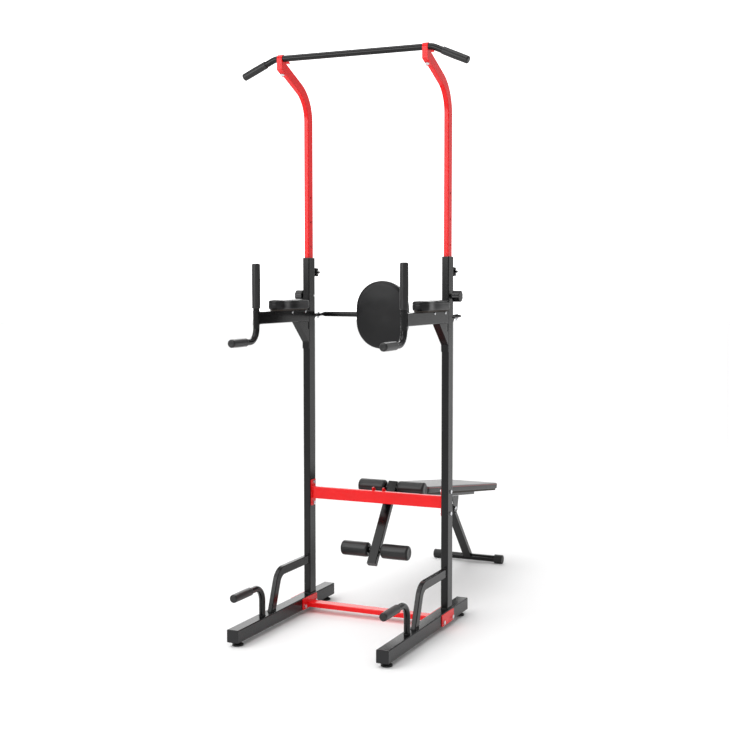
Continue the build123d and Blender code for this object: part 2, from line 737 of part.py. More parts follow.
with BuildPart() as pull_up_clamps:
    for side in sides:
        strap_plane = crown_plane(side * mast_x + strap_wide / 2)
        with BuildSketch(strap_plane):
            add(clamp_loop())
            offset(amount=strap_thick)
            add(clamp_loop(), mode=Mode.SUBTRACT)
            with Locations((strap_back - 40, 0)):
                Rectangle(80, 140, mode=Mode.SUBTRACT)
        extrude(amount=strap_wide)
        with BuildSketch(strap_plane):
            add(clamp_loop())
            offset(amount=-0.05)
            with Locations((crown_length - 99.95, 0)):
                Rectangle(200, 200, mode=Mode.SUBTRACT)
            with Locations((bar_in_crown.X, bar_in_crown.Y)):
                Circle(bar_radius + 0.05, mode=Mode.SUBTRACT)
            with Locations((bar_in_crown.X, 68)):
                Rectangle(80, 100, mode=Mode.SUBTRACT)
        extrude(amount=strap_wide)
        with BuildSketch(crown_bolt_seat(side * mast_x, clamp_bolt_along, crown_half + 0.05)):
            Circle(7.5)
        extrude(amount=strap_level - crown_half - 0.1)
        drill(crown_bolt_seat(side * mast_x, clamp_bolt_along, strap_level + 5),
              bolt_radius + hole_clear, 80)
finish(pull_up_clamps, "pull_up_clamps")

with BuildPart() as pull_up_bolts:
    for side in sides:
        under = crown_bolt_seat(side * mast_x, clamp_bolt_along, -crown_half - strap_thick, -1)
        over = crown_bolt_seat(side * mast_x, clamp_bolt_along, strap_level + strap_thick)
        add(hex_bolt(under, strap_level + crown_half + 2 * strap_thick + 11))
        add(hex_nut(over))
finish(pull_up_bolts, "pull_up_bolts")

# -------------------------------------------------------------- height pins and clamps
pin_tip = mast_x + upper_wide / 2 + 0.4      # withdrawn: just clear of the inner tube
pin_knob_in = mast_x + lower_wide / 2 + boss_length + 1
pin_knob_out = pin_knob_in + 31.0
pin_end = pin_knob_out - 8
knob_radius = 23.0

for side, name in zip(sides, ("left", "right")):
    with BuildPart() as pin_knob:
        with BuildSketch(across(side * pin_knob_in, 0, pin_height, side)):
            Circle(knob_radius)
            with PolarLocations(knob_radius + 4.6, 8):
                Circle(6.5, mode=Mode.SUBTRACT)
        extrude(amount=pin_knob_out - pin_knob_in)
        outer_end = pin_knob.faces().filter_by(Axis.X).sort_by_distance(
            at(side * 2 * mast_x, 0, pin_height))[0]
        fillet(outer_end.edges(), radius=2.5)
        drill(across(side * (pin_knob_in - 1), 0, pin_height, -side), boss_radius + 0.6,
              boss_length + 3)
        drill(across(side * pin_knob_in, 0, pin_height, -side), pin_radius + running,
              pin_end - pin_knob_in + 0.1)
        with BuildSketch(across(side * pin_tip, 0, pin_height, side)):
            Circle(pin_radius)
        extrude(amount=pin_end - pin_tip)
        tip_edge = pin_knob.edges().filter_by(GeomType.CIRCLE).sort_by_distance(
            at(side * pin_tip, 0, pin_height))[0]
        chamfer(tip_edge, length=1.2)
    finish(pin_knob, f"{name}_pin_knob")

clamp_tip = upper_deep / 2 + slide_gap
clamp_knob_in = lower_deep / 2 + screw_boss_length + 1
clamp_knob_long = 26.0
for side, name in zip(sides, ("left", "right")):
    with BuildPart() as clamp_knob:
        front = Plane(origin=at(side * mast_x, clamp_knob_in, clamp_height), z_dir=(0, 1, 0))
        with BuildSketch(front):
            Circle(11)
        extrude(amount=8)
        with BuildSketch(front.offset(8)):
            Circle(20)
            with PolarLocations(23.5, 6):
                Circle(8, mode=Mode.SUBTRACT)
            fillet(vertices(), radius=2)
        extrude(amount=clamp_knob_long - 8)
        fillet(clamp_knob.faces().sort_by(Axis.Y)[-1].edges(), radius=2)
        drill(Plane(origin=front.origin, z_dir=(0, -1, 0)), stud_radius + running, 16.1)
        with BuildSketch(Plane(origin=at(side * mast_x, clamp_tip, clamp_height),
                               z_dir=(0, 1, 0))):
            Circle(stud_radius)
        extrude(amount=clamp_knob_in - clamp_tip + 16)
    finish(clamp_knob, f"{name}_clamp_knob")

# ------------------------------------------------------------------------------- bench
leg_direction = Vector(0, roller_high[0] - roller_low[0], roller_high[1] - roller_low[1])
axle_spacing = leg_direction.length
leg_direction = leg_direction.normalized()
leg_below, leg_above = 62.0, 22.0
leg_plane = Plane(origin=at(0, *roller_low), x_dir=(1, 0, 0), z_dir=leg_direction)

with BuildPart() as roller_leg:
    with BuildSketch(leg_plane.offset(-leg_below)):
        RectangleRounded(bench_tube_wide, bench_tube_deep, 3)
        RectangleRounded(bench_tube_wide - 3, bench_tube_deep - 3, 2, mode=Mode.SUBTRACT)
    extrude(amount=leg_below + axle_spacing + leg_above)
    for spot in (roller_low, roller_high):
        drill(across(bench_tube_wide / 2 + 1, *spot), axle_radius, bench_tube_wide + 2)
finish(roller_leg, "roller_leg")

# The beam butts against the roller leg on both sides; its nose carries the hook bolt.
beam_nose, beam_end = -191.0, 938.0
with BuildPart() as bench_beam:
    with BuildSketch(Plane(origin=bench_plane.from_local_coords((0, beam_nose, beam_axis)),
                           x_dir=(1, 0, 0), z_dir=bench_plane.y_dir)):
        RectangleRounded(bench_tube_wide, bench_tube_deep, 3)
        RectangleRounded(bench_tube_wide - 3, bench_tube_deep - 3, 2, mode=Mode.SUBTRACT)
    extrude(amount=beam_end - beam_nose)
    with BuildSketch(leg_plane.offset(-leg_below)) as leg_envelope:
        Rectangle(bench_tube_wide + 10, bench_tube_deep)
    extrude(leg_envelope.sketch, amount=leg_below + axle_spacing + leg_above,
            mode=Mode.SUBTRACT)
    drill(Plane(origin=(30, hook_pivot.Y, hook_pivot.Z), z_dir=(1, 0, 0)), stud_radius, 60)
finish(bench_beam, "bench_beam")

with BuildPart() as bench_board:
    with BuildSketch(bench_plane.offset(-bench_pad_thick - bench_board_thick)):
        with Locations((0, bench_length / 2)):
            RectangleRounded(bench_wide - 16, bench_length - 16, 12)
    extrude(amount=bench_board_thick)
finish(bench_board, "bench_board")

with BuildPart() as bench_pad:
    with BuildSketch(bench_plane.offset(-bench_pad_thick)):
        with Locations((0, bench_length / 2)):
            RectangleRounded(bench_wide, bench_length, 18)
    extrude(amount=bench_pad_thick)
    fillet(bench_pad.edges().group_by(Axis((0, 0, 0), bench_plane.z_dir))[-1], radius=4)
finish(bench_pad, "bench_pad")

strap_spots = (60.0, 474.0, 888.0)
with BuildPart() as bench_straps:
    with BuildSketch(bench_plane.offset(beam_top)):
        with Locations(*[(0, spot) for spot in strap_spots]):
            RectangleRounded(220, 40, 6)
    extrude(amount=bench_strap_thick)
finish(bench_straps, "bench_straps")

axle_half = 148.0
with BuildPart() as roller_axles:
    for spot in (roller_low, roller_high):
        with BuildSketch(across(-axle_half, *spot)):
            Circle(axle_radius)
            Circle(axle_radius - 1.5, mode=Mode.SUBTRACT)
        extrude(amount=2 * axle_half)
finish(roller_axles, "roller_axles")

with BuildPart() as bench_caps:
    beam_mouth = Plane(origin=bench_plane.from_local_coords((0, beam_end, beam_axis)),
                       x_dir=(1, 0, 0), z_dir=bench_plane.y_dir)
    leg_mouth = Plane(origin=leg_plane.from_local_coords((0, 0, -leg_below)), x_dir=(1, 0, 0),
                      z_dir=-leg_plane.z_dir)
    leg_crown = Plane(origin=leg_plane.from_local_coords((0, 0, axle_spacing + leg_above)),
                      x_dir=(1, 0, 0), z_dir=leg_plane.z_dir)
    for mouth, plug in ((beam_mouth, 15), (leg_mouth, 15), (leg_crown, 8)):
        with BuildSketch(mouth):
            RectangleRounded(bench_tube_wide, bench_tube_deep, 3)
        extrude(amount=3)
        with BuildSketch(mouth):
            RectangleRounded(bench_tube_wide - 3.2, bench_tube_deep - 3.2, 2)
        extrude(amount=-plug)
finish(bench_caps, "bench_caps")

roller_in, roller_out = 30.0, 150.0
for (spot_name, spot) in (("lower", roller_low), ("upper", roller_high)):
    for side, side_name in zip(sides, ("left", "right")):
        with BuildPart() as roller:
            with BuildSketch(across(side * roller_in, *spot, side)):
                Circle(roller_radius)
            extrude(amount=roller_out - roller_in)
            fillet(roller.edges().filter_by(GeomType.CIRCLE), radius=4)
            with BuildSketch(across(side * roller_in, *spot, side)):
                Circle(axle_radius + running)
            extrude(amount=axle_half - roller_in + 0.3, mode=Mode.SUBTRACT)
        finish(roller, f"{spot_name}_{side_name}_roller")

# ---------------------------------------------------------------------- rear bench leg
hinge_local = bench_plane.to_local_coords(Vector(*at(0, *leg_hinge)))
rear_direction = Vector(0, leg_hinge[0] - foot_bar[0], leg_hinge[1] - foot_bar[1])
rear_reach = rear_direction.length
rear_direction = rear_direction.normalized()
rear_plane = Plane(origin=at(0, *foot_bar), x_dir=(1, 0, 0), z_dir=rear_direction)
hinge_end = 13.0
stop_gap = 0.3

with BuildPart() as rear_leg:
    with BuildSketch(rear_plane):
        RectangleRounded(bench_tube_wide, bench_tube_deep, 3)
        RectangleRounded(bench_tube_wide - 3, bench_tube_deep - 3, 2, mode=Mode.SUBTRACT)
    extrude(amount=rear_reach + hinge_end)
    drill(across(bench_tube_wide / 2 + 1, *foot_bar), foot_bar_radius, bench_tube_wide + 2)
    drill(across(bench_tube_wide / 2 + 1, *leg_hinge), stud_radius + running,
          bench_tube_wide + 2)
finish(rear_leg, "rear_leg")

foot_bar_half = 176.0
with BuildPart() as rear_foot_bar:
    with BuildSketch(across(-foot_bar_half, *foot_bar)):
        Circle(foot_bar_radius)
        Circle(foot_bar_radius - 2, mode=Mode.SUBTRACT)
    extrude(amount=2 * foot_bar_half)
finish(rear_foot_bar, "rear_foot_bar")

with BuildPart() as foot_bar_caps:
    for side in sides:
        mouth = across(side * (foot_bar_half + grip_skin - 40), *foot_bar, side)
        add(foam_grip(mouth, 40, foot_cap_radius, foot_bar_radius))
finish(foot_bar_caps, "foot_bar_caps")

# Folded bracket under the beam: two cheeks, and a web that stops the leg when it is open.
web_near, web_far, web_thick = 15.5, 33.0, 3.0
cheek_in, cheek_thick = bench_tube_wide / 2 + 1, 3.0
down_leg = Vector(0, 0, 0) - rear_direction
behind_leg = Vector(0, -down_leg.Z, down_leg.Y)
hinge_point = Vector(*at(0, *leg_hinge))


def from_hinge(down, behind):
    """Side-plane coordinates of a point given along the rear leg and square to it."""
    point = hinge_point + down_leg * down + behind_leg * behind
    return (point.Y - mast_y, point.Z)


def under_beam(along):
    """Side-plane coordinates of a point on the beam's underside."""
    point = bench_plane.from_local_coords((0, along, beam_axis - bench_tube_deep / 2))
    return (point.Y - mast_y, point.Z)


web_inside = bench_tube_deep / 2 + stop_gap
with BuildPart() as leg_bracket:
    for side in sides:
        with BuildSketch(side_plane(side * cheek_in)):
            with BuildLine():
                Polyline(under_beam(hinge_local.Y - 42), under_beam(hinge_local.Y + 44),
                         from_hinge(web_far, web_inside + web_thick), from_hinge(web_far, -6),
                         from_hinge(4, -15), close=True)
            make_face()
            with Locations(leg_hinge):
                Circle(stud_radius, mode=Mode.SUBTRACT)
        extrude(amount=side * cheek_thick)
    with BuildSketch(side_plane(-cheek_in)):
        with BuildLine():
            Polyline(from_hinge(web_near, web_inside), from_hinge(web_far, web_inside),
                     from_hinge(web_far, web_inside + web_thick),
                     from_hinge(web_near, web_inside + web_thick), close=True)
        make_face()
    extrude(amount=2 * cheek_in)
finish(leg_bracket, "leg_bracket")

# Hook bolt through the ears and hinge bolt through the bracket.
with BuildPart() as bench_bolts:
    for centre, outside in ((hook_pivot, ear_inside + ear_thick),
                            (hinge_point, cheek_in + cheek_thick)):
        head_seat = Plane(origin=(outside + 0.3, centre.Y, centre.Z), x_dir=(0, 1, 0),
                          z_dir=(1, 0, 0))
        nut_seat = Plane(origin=(-outside - 0.3, centre.Y, centre.Z), x_dir=(0, 1, 0),
                         z_dir=(-1, 0, 0))
        add(hex_bolt(head_seat, 2 * outside + 10, stud_radius))
        add(hex_nut(nut_seat, stud_radius, 8.0, 17.0))
finish(bench_bolts, "bench_bolts")
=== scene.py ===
"""Looks of a power tower with dip arms, backrest and a hook-on decline bench."""
import json
import math

import bpy
import numpy as np
from mathutils import Matrix, Vector, noise


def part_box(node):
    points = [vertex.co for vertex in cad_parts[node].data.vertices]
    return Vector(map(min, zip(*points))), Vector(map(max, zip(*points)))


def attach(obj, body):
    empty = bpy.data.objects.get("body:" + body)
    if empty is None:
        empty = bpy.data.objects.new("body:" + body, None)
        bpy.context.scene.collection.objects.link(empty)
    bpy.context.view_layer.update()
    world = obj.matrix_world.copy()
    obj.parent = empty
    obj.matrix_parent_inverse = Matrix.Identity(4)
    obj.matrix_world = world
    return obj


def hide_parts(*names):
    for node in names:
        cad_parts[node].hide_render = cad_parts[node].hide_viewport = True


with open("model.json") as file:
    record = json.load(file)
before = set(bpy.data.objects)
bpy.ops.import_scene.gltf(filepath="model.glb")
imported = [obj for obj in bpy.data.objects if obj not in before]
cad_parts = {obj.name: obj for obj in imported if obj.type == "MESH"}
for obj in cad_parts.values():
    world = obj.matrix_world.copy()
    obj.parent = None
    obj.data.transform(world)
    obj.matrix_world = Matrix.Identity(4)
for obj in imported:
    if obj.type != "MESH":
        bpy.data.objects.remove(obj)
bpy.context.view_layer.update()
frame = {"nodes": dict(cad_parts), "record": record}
nodes = frame["nodes"]
record = frame["record"]
sides = (("left", -1), ("right", 1))

# The masts' middle: places that follow the masts are counted from it.
mast_low, mast_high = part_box("left_lower_upright")
mast_x = -(mast_low.x + mast_high.x) / 2
mast_y = (mast_low.y + mast_high.y) / 2


# ---------------------------------------------------------------------------- materials
def new_nodes(name):
    """A material with its node tree emptied down to the shader, and a way to add nodes."""
    material = bpy.data.materials.new(name)
    material.use_nodes = True
    tree = material.node_tree
    shader = tree.nodes["Principled BSDF"]

    def add(kind, **values):
        node = tree.nodes.new(kind)
        for key, value in values.items():
            if hasattr(node, key):
                setattr(node, key, value)
            else:
                node.inputs[key.replace("_", " ")].default_value = value
        return node

    return material, tree, shader, add


def finish_material(name, colour, roughness, metallic=0.0, specular=0.5, coat=0.0,
                    shade=0.15, patch=9.0, spread=0.06, grain="noise", grain_size=0.001,
                    depth=0.00004, strength=0.5, dust=0.0):
    """A surface with patchy shade, uneven gloss and a fine raised grain.

    shade is how much the colour varies, patch how many patches there are to a metre,
    spread how far the roughness varies, and grain_size and depth are in metres."""
    material, tree, shader, add = new_nodes(name)
    link = tree.links.new
    place = add("ShaderNodeTexCoord")

    patches = add("ShaderNodeTexNoise", Scale=patch, Detail=5.0, Roughness=0.6)
    link(place.outputs["Object"], patches.inputs["Vector"])
    ramp = add("ShaderNodeValToRGB")
    dark = tuple(c * (1 - shade) for c in colour)
    light = tuple(min(1.0, c * (1 + shade) + dust) for c in colour)
    ramp.color_ramp.elements[0].position = 0.32
    ramp.color_ramp.elements[0].color = (*dark, 1)
    ramp.color_ramp.elements[1].position = 0.7
    ramp.color_ramp.elements[1].color = (*light, 1)
    link(patches.outputs["Fac"], ramp.inputs["Fac"])
    link(ramp.outputs["Color"], shader.inputs["Base Color"])

    smears = add("ShaderNodeTexNoise", Scale=patch * 6, Detail=4.0, Roughness=0.7)
    link(place.outputs["Object"], smears.inputs["Vector"])
    gloss = add("ShaderNodeMapRange")
    gloss.inputs["To Min"].default_value = max(0.02, roughness - spread)
    gloss.inputs["To Max"].default_value = min(1.0, roughness + spread)
    link(smears.outputs["Fac"], gloss.inputs["Value"])
    link(gloss.outputs["Result"], shader.inputs["Roughness"])

    if grain == "cells":
        relief = add("ShaderNodeTexVoronoi", Scale=1 / grain_size)
        height = relief.outputs["Distance"]
    else:
        relief = add("ShaderNodeTexNoise", Scale=1 / grain_size, Detail=3.0)
        height = relief.outputs["Fac"]
    link(place.outputs["Object"], relief.inputs["Vector"])
    bump = add("ShaderNodeBump", Strength=strength, Distance=depth)
    link(height, bump.inputs["Height"])
    link(bump.outputs["Normal"], shader.inputs["Normal"])

    shader.inputs["Metallic"].default_value = metallic
    shader.inputs["Specular IOR Level"].default_value = specular
    shader.inputs["Coat Weight"].default_value = coat
    shader.inputs["Coat Roughness"].default_value = 0.12
    return material


black_coat = finish_material("black_powder_coat", (0.0042, 0.0042, 0.0045), 0.19,
                             specular=0.3, shade=0.3, spread=0.04, grain_size=0.0011,
                             depth=0.000006, strength=0.2)
red_coat = finish_material("red_powder_coat", (0.84, 0.006, 0.008), 0.2, specular=0.3,
                           shade=0.05, spread=0.04, grain_size=0.0011, depth=0.000006,
                           strength=0.2)
zinc = finish_material("zinc_plate", (0.72, 0.73, 0.75), 0.24, metallic=1.0, shade=0.12,
                       patch=60, spread=0.08, grain_size=0.0006, depth=0.00002)
plastic = finish_material("moulded_plastic", (0.008, 0.008, 0.009), 0.36, specular=0.4,
                          shade=0.15, patch=20, grain="cells", grain_size=0.0007,
                          depth=0.00004)
knob_plastic = finish_material("gloss_knob", (0.004, 0.004, 0.005), 0.12, shade=0.1,
                               patch=30, spread=0.03, grain_size=0.002, depth=0.00001)
foam = finish_material("foam_skin", (0.0065, 0.0065, 0.007), 0.36, specular=0.5,
                       shade=0.25, patch=25, spread=0.07, grain="cells",
                       grain_size=0.0009, depth=0.00008, strength=0.4)
vinyl = finish_material("grained_vinyl", (0.0085, 0.0085, 0.0092), 0.33, specular=0.26,
                        shade=0.14, patch=7, spread=0.06, grain="cells",
                        grain_size=0.0014, depth=0.0001, strength=0.5)
rubber = finish_material("foot_rubber", (0.008, 0.008, 0.008), 0.5, specular=0.4,
                         shade=0.2, patch=30, grain_size=0.0008, depth=0.00005,
                         dust=0.003)
red_vinyl = finish_material("red_piping", (0.2, 0.007, 0.01), 0.38, shade=0.1, patch=40,
                            grain="cells", grain_size=0.0008, depth=0.00006)


def board_material():
    """Dark-stained plywood: long grain along Y, with pores."""
    material, tree, shader, add = new_nodes("stained_plywood")
    link = tree.links.new
    place = add("ShaderNodeTexCoord")
    stretch = add("ShaderNodeMapping")
    stretch.inputs["Scale"].default_value = (90, 6, 90)
    grain = add("ShaderNodeTexNoise", Scale=1.5, Detail=8.0, Roughness=0.65)
    ramp = add("ShaderNodeValToRGB")
    ramp.color_ramp.elements[0].color = (0.012, 0.009, 0.007, 1)
    ramp.color_ramp.elements[1].color = (0.05, 0.038, 0.028, 1)
    bump = add("ShaderNodeBump", Strength=0.5, Distance=0.0002)
    link(place.outputs["Object"], stretch.inputs["Vector"])
    link(stretch.outputs["Vector"], grain.inputs["Vector"])
    link(grain.outputs["Fac"], ramp.inputs["Fac"])
    link(ramp.outputs["Color"], shader.inputs["Base Color"])
    link(grain.outputs["Fac"], bump.inputs["Height"])
    link(bump.outputs["Normal"], shader.inputs["Normal"])
    shader.inputs["Roughness"].default_value = 0.7
    return material


plywood = board_material()
slot_material = {"black_paint": black_coat, "red_paint": red_coat, "zinc": zinc,
                 "black_plastic": plastic, "foam": foam, "vinyl": vinyl,
                 "plywood": plywood}
glossy_nodes = [n for n in nodes if n.endswith("_knob")]
rubber_nodes = [n for n in nodes if n.endswith("_foot")] + ["foot_bar_caps"]

for part in record["subparts"]:
    paint = slot_material[part["material_slot"]]
    if part["node"] in glossy_nodes:
        paint = knob_plastic
    if part["node"] in rubber_nodes:
        paint = rubber
    mesh = nodes[part["node"]].data
    mesh.materials.clear()
    mesh.materials.append(paint)


# ------------------------------------------------------------------------- mesh helpers
def make_piece(name, points, faces, paint, body):
    """A new mesh piece that rides on a body."""
    mesh = bpy.data.meshes.new(name)
    mesh.from_pydata([tuple(p) for p in points], [], faces)
    mesh.materials.append(paint)
    mesh.validate()
    mesh.update()
    for face in mesh.polygons:
        face.use_smooth = True
    piece = bpy.data.objects.new(name, mesh)
    bpy.context.scene.collection.objects.link(piece)
    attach(piece, body)
    return piece


def bridge(rings, first=0, close_start=True):
    """Faces between equal rings of vertices, numbered from first; the last ring is closed."""
    count = len(rings[0])
    faces = []
    for level in range(len(rings) - 1):
        low, high = first + level * count, first + (level + 1) * count
        for i in range(count):
            j = (i + 1) % count
            faces.append((low + i, low + j, high + j, high + i))
    if close_start:
        faces.append(tuple(first + i for i in reversed(range(count))))
    top = first + (len(rings) - 1) * count
    faces.append(tuple(top + i for i in range(count)))
    return faces


def smooth_over(piece):
    """Subdivide a piece once and keep the result in its mesh."""
    rounding = piece.modifiers.new("rounding", "SUBSURF")
    rounding.levels = rounding.render_levels = 1
    graph = bpy.context.evaluated_depsgraph_get()
    result = bpy.data.meshes.new_from_object(piece.evaluated_get(graph))
    piece.modifiers.clear()
    piece.data = result
    for face in piece.data.polygons:
        face.use_smooth = True


# --------------------------------------------------------------- foam grips and rollers
around = 48                    # points to a turn
bore_shown = 0.03              # how far in a foam part's bore is modelled
bore_gap = 0.0001
handle_radius = 0.0125         # tube of the dip handles and of the push-up bars
pull_up_radius = 0.0127
roller_bore = 0.0111
bar_end_fall, bar_end_reach = 0.0618, 0.142      # slope of the pull-up bar's ends


def cad_points(node, side=0):
    """A CAD node's vertices in metres; side keeps only those left or right of the middle."""
    points = np.array([v.co for v in nodes[node].data.vertices], float)
    return points[points[:, 0] * side > 0] if side else points


def sleeve_of(points, direction):
    """A CAD sleeve's start, direction, length and outer radius, along direction."""
    along = np.array(Vector(direction).normalized())
    reach = points @ along
    across = Vector(along).orthogonal().normalized()
    other = Vector(along).cross(across)
    middle = np.zeros(3)
    for way in (np.array(across), np.array(other)):
        places = points @ way
        middle = middle + way * (places.max() + places.min()) / 2
    spread = points - middle
    radius = np.linalg.norm(spread - np.outer(spread @ along, along), axis=1).max()
    start = Vector(middle + along * reach.min())
    return start, Vector(along), reach.max() - reach.min(), radius


def lathe(start, along, profile, seed):
    """Rings of a turned foam shape; its radius wavers a little, as foam's does."""
    across = along.orthogonal().normalized()
    other = along.cross(across)
    rings = []
    for distance, radius in profile:
        ring = []
        for i in range(around):
            angle = 2 * math.pi * i / around
            way = across * math.cos(angle) + other * math.sin(angle)
            spot = start + along * distance + way * radius
            waver = noise.noise(spot * 22 + Vector((seed, 0, 0))) * 0.0004
            ring.append(spot + way * (waver if radius > 0.004 else 0))
        rings.append(ring)
    return rings


def grip_profile(length, radius, bore):
    """Open mouth with a soft lip, a barely crowned side, and a rounded closed end."""
    lip, end, margin, stations = 0.006, 0.006, 0.008, 7
    profile = [(bore_shown, bore), (0.0005, bore), (0.0, bore + 0.0008),
               (0.0003, radius - 0.0014), (0.0022, radius - 0.0003)]
    for k in range(stations):
        share = k / (stations - 1)
        crown = 0.0004 * math.sin(math.pi * share)
        profile.append((lip + (length - end - margin) * share, radius - 0.0005 + crown))
    for k in range(1, 6):
        angle = math.pi / 2 * k / 5
        profile.append((length - end + end * math.sin(angle),
                        radius - 0.0003 - end * (1 - math.cos(angle))))
    profile += [(length - 0.0004, radius * 0.45), (length - 0.0009, radius * 0.2),
                (length - 0.0009, 0.0004)]
    return profile


def roller_profile(length, radius, bore):
    """Foam roller: rounded shoulders, and ends that dish in around the axle."""
    shoulder = 0.009
    profile = [(bore_shown, bore), (0.0035, bore), (0.0012, bore + 0.0035),
               (0.0, radius - shoulder - 0.002)]
    for k in range(6):
        angle = math.pi / 2 * k / 5
        profile.append((shoulder * (1 - math.cos(angle)),
                        radius - shoulder * (1 - math.sin(angle))))
    for k in range(1, 7):
        profile.append((shoulder + (length - 2 * shoulder) * k / 7,
                        radius + 0.0002 * math.sin(math.pi * k / 7)))
    for k in range(5, -1, -1):
        angle = math.pi / 2 * k / 5
        profile.append((length - shoulder * (1 - math.cos(angle)),
                        radius - shoulder * (1 - math.sin(angle))))
    profile += [(length, radius * 0.55), (length - 0.0012, radius * 0.42),
                (length - 0.0016, radius * 0.2), (length - 0.0016, 0.0004)]
    return profile


def foam_pieces():
    """The grips of the frame and of the pull-up bar, and the four rollers."""
    droop = math.atan2(bar_end_fall, bar_end_reach)
    grips = (
        ("push_up_grips", "push_up_foam", "frame", lambda s: (0, -1, 0), handle_radius),
        ("dip_upper_grips", "dip_upper_foam", "frame", lambda s: (0, 0, 1), handle_radius),
        ("dip_lower_grips", "dip_lower_foam", "frame", lambda s: (0, -1, 0), handle_radius),
        ("pull_up_grips", "pull_up_foam", "upper_frame",
         lambda s: (s * math.cos(droop), 0, -math.sin(droop)), pull_up_radius),
    )
    for seed, (node, name, body, way, bore) in enumerate(grips):
        points, faces = [], []
        for _, side in sides:
            start, along, length, radius = sleeve_of(cad_points(node, side), way(side))
            rings = lathe(start, along, grip_profile(length, radius, bore + bore_gap),
                          3.7 * seed + side)
            faces += bridge(rings, len(points), close_start=False)
            points += [p for ring in rings for p in ring]
        piece = make_piece(name, points, faces, foam, body)
        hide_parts(node)
    for level in ("lower", "upper"):
        for side_name, side in sides:
            node = f"{level}_{side_name}_roller"
            start, along, length, radius = sleeve_of(cad_points(node), (side, 0, 0))
            profile = roller_profile(length, radius, roller_bore)
            rings = lathe(start, along, profile, 9.1 * side)
            piece = make_piece(f"{level}_{side_name}_foam", [p for r in rings for p in r],
                               bridge(rings, close_start=False), foam, node)
            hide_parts(node)


foam_pieces()


# ------------------------------------------------------------------------------ cushions
def outline(half_x, half_y, radii, waist=0.0, steps=9, straight=14):
    """Rounded rectangle, anticlockwise. radii are for the low-y and the high-y corners.

    waist is the share of its width that it loses about a third of the way along."""
    waist_at, waist_length = 0.3, 0.27
    points = []
    corners = ((1, -1, radii[0], -90), (1, 1, radii[1], 0), (-1, 1, radii[1], 90),
               (-1, -1, radii[0], 180))
    for n, (sx, sy, radius, begin) in enumerate(corners):
        centre = Vector((sx * (half_x - radius), sy * (half_y - radius)))
        for k in range(steps):
            angle = math.radians(begin + 90 * k / (steps - 1))
            points.append(centre + radius * Vector((math.cos(angle), math.sin(angle))))
        nx, ny, near, turn = corners[(n + 1) % 4]
        follow = Vector((nx * (half_x - near), ny * (half_y - near)))
        angle = math.radians(turn)
        follow += near * Vector((math.cos(angle), math.sin(angle)))
        last = points[-1]
        for k in range(1, straight):
            points.append(last.lerp(follow, k / straight))
    for point in points:
        away = (point.y + half_y * waist_at) / (half_y * waist_length)
        point.x *= 1 - waist * math.exp(-away * away)
    return points


def cushion(name, node, body, size, thickness, place, crown, edge=0.012, waist=0.0,
            radii=(0.03, 0.03), seam=0.5, seed=0.0):
    """A foam pad under stretched cover: a side band, a sewn seam and a crowned top panel.

    size is the half width and half length; place turns (x, y, height) into the shared frame."""
    half_x, half_y = size
    ring_sizes = [(0.008, 0.0), (0.0025, 0.0), (0.0006, 0.002), (0.0, thickness * 0.3)]
    seam_at = thickness * seam
    ring_sizes += [(0.0, seam_at - 0.003), (0.0004, seam_at - 0.0009),
                   (0.0012, seam_at), (0.0004, seam_at + 0.0009), (0.0001, seam_at + 0.003)]
    top = thickness - crown
    for k in range(1, 6):
        angle = math.pi / 2 * k / 5
        ring_sizes.append((edge * (1 - math.cos(angle)),
                           top - edge * (1 - math.sin(angle))))
    rings = []
    for inset, height in ring_sizes:
        corner = [max(0.004, r - inset) for r in radii]
        flat = outline(half_x - inset, half_y - inset, corner, waist)
        rings.append([(p.x, p.y, height) for p in flat])
    rim = outline(half_x - edge, half_y - edge, [max(0.004, r - edge) for r in radii], waist)
    spans = 10
    short = min(half_x, half_y) - edge
    for k in range(1, spans + 1):
        share = min(0.985, k / spans)
        keep_x = 1 - share * short / (half_x - edge)
        keep_y = 1 - share * short / (half_y - edge)
        rise = crown * (1 - (1 - share) ** 2.4)
        rings.append([(p.x * keep_x, p.y * keep_y, top + rise) for p in rim])
    points = []
    for ring in rings:
        for x, y, height in ring:
            pucker = noise.noise(Vector((x * 26 + seed, y * 26, height * 30))) * 0.0007
            slack = min(1.0, height / thickness)
            points.append(place(x, y, height + pucker * slack))
    piece = make_piece(name, points, bridge(rings), vinyl, body)
    smooth_over(piece)
    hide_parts(node)


def trim_ring(name, flat, place, height, radius, paint, body, sections=8):
    """A round cord sewn around an outline."""
    count = len(flat)
    points = []
    for i, p in enumerate(flat):
        before, after = flat[i - 1], flat[(i + 1) % count]
        out = Vector((after.y - before.y, before.x - after.x)).normalized()
        for k in range(sections):
            angle = 2 * math.pi * k / sections
            spot = p + out * radius * math.cos(angle)
            points.append(place(spot.x, spot.y, height + radius * math.sin(angle)))
    faces = []
    for i in range(count):
        j = (i + 1) % count
        for k in range(sections):
            m = (k + 1) % sections
            faces.append((i * sections + k, i * sections + m, j * sections + m,
                          j * sections + k))
    make_piece(name, points, faces, paint, body)


def backrest():
    """The round-ended pad, which faces the user with its crown towards them."""
    low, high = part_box("backrest_pad")
    middle = (low + high) / 2

    def place(x, y, height):
        return Vector((middle.x + x, high.y - height, middle.z + y))

    half = ((high.x - low.x) / 2, (high.z - low.z) / 2)
    corner = half[0] - 0.003
    cushion("backrest_cushion", "backrest_pad", "frame", half, high.y - low.y, place,
            crown=0.004, edge=0.013, radii=(corner, corner), seam=0.55, seed=2.0)


